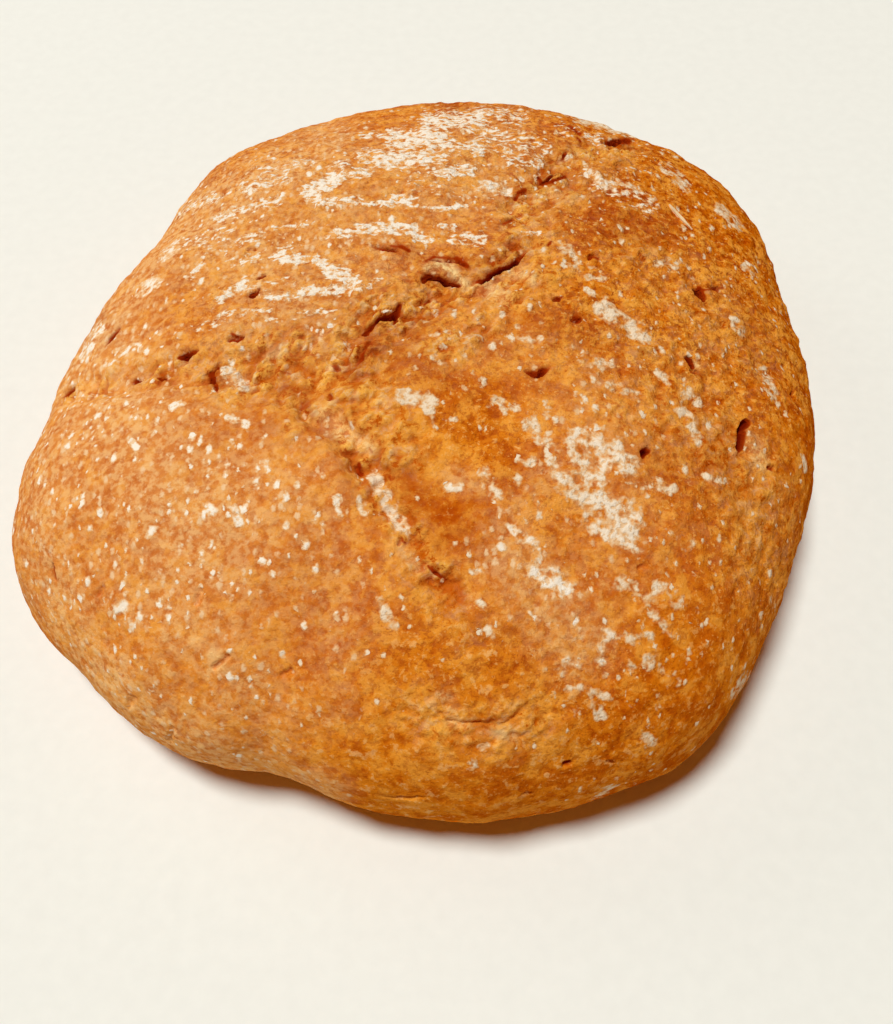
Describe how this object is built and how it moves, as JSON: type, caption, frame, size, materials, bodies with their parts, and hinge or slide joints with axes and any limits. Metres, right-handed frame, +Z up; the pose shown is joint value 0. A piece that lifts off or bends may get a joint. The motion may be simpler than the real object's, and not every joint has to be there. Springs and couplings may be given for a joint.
{
  "type": "sourdough loaf",
  "caption": "Low round einkorn hearth loaf with a browned, flour-dusted crust torn open across its top, resting on a flat base.",
  "frame": {"origin": "bottom centre of the loaf's box, on the surface that its flat base rests on", "axes": "+Z up through the crown, +X to the right and +Y to the back as the loaf is seen from its front, -Y; the long tear runs from the left, -X, over the crown to the back right"},
  "size_m": [0.2093, 0.2263, 0.0656],
  "materials": {
    "crust": "matt browned bread crust, lighter in the tears, dusted with flour"
  },
  "bodies": {
    "root": {"loaf": "crust"}
  },
  "joints": []
}
